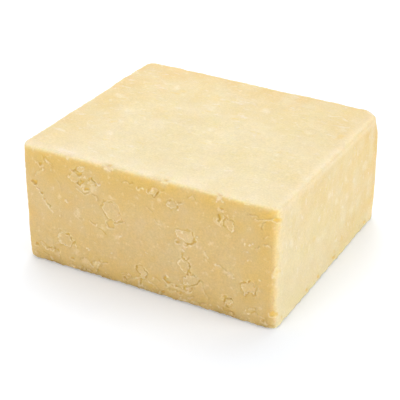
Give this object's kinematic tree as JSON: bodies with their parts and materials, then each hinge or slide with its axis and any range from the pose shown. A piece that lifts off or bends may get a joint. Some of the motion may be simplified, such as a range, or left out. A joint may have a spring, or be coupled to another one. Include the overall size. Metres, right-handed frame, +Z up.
{
  "type": "block of cheddar cheese",
  "caption": "Chunk of cheddar: a low rectangular block with rounded edges and torn, flaky long sides that rests on its flat underside.",
  "frame": {"origin": "centre of the underside, on the surface the block rests on", "axes": "+Z up, +X along the long torn front, from its left end to its right; the torn front faces -Y and the smooth cut end faces +X"},
  "size_m": [0.1004, 0.0898, 0.0455],
  "materials": {
    "cheese": null
  },
  "bodies": {
    "root": {"cheddar_block": "cheese"}
  },
  "joints": []
}
